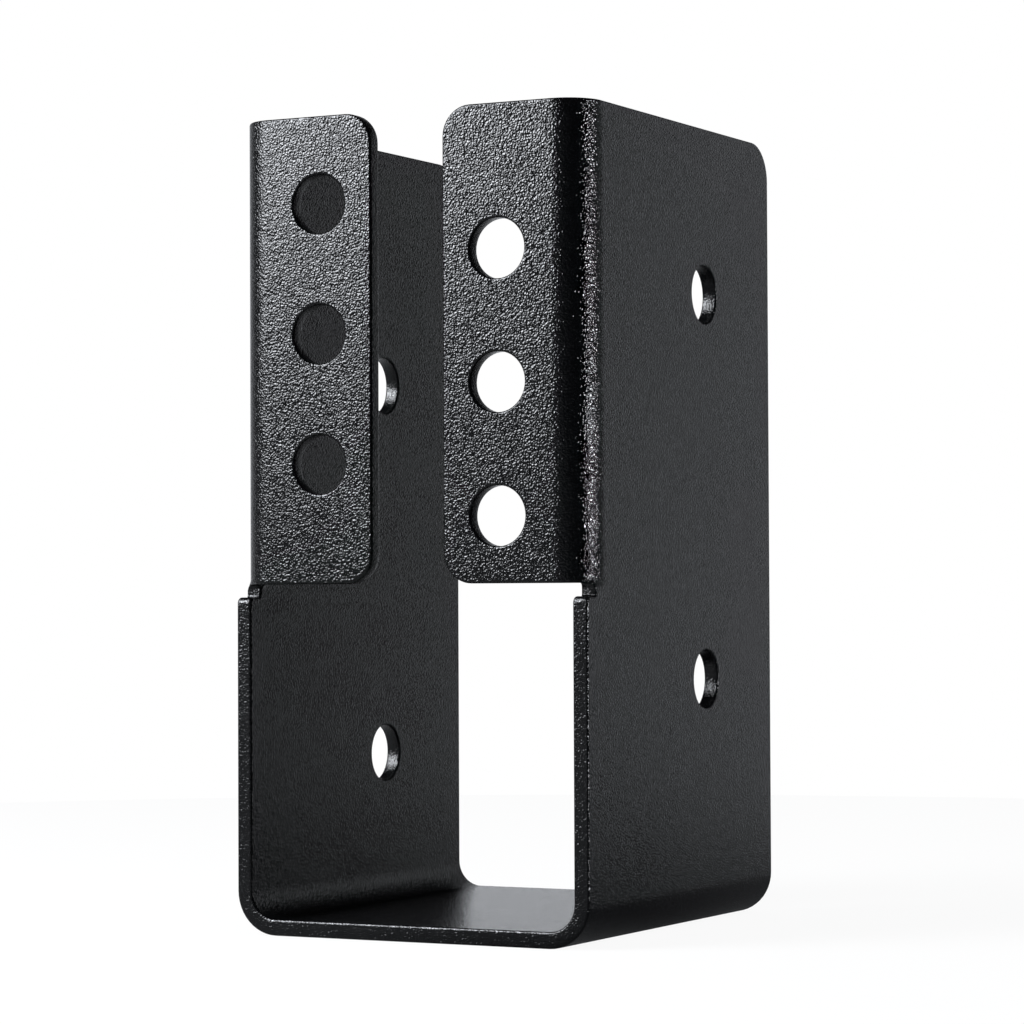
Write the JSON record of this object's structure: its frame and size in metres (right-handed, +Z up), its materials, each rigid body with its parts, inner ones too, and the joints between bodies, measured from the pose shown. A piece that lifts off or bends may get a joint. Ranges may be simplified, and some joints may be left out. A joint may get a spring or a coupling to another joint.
{
  "type": "concealed joist hanger",
  "caption": "Concealed joist hanger folded from one steel sheet: a U of seat and side plates with in-turned, punched nailing flanges and a black textured powder coat.",
  "frame": {"origin": "middle of the seat's underside", "axes": "+Z up along the side plates, +Y away from the beam that the flanges are screwed to and along the joist, +X across the joist"},
  "size_m": [0.0432, 0.0486, 0.09],
  "materials": {
    "powder_coat": "fine-textured black powder coat over galvanised steel"
  },
  "bodies": {
    "root": {"hanger": "powder_coat"}
  },
  "joints": []
}
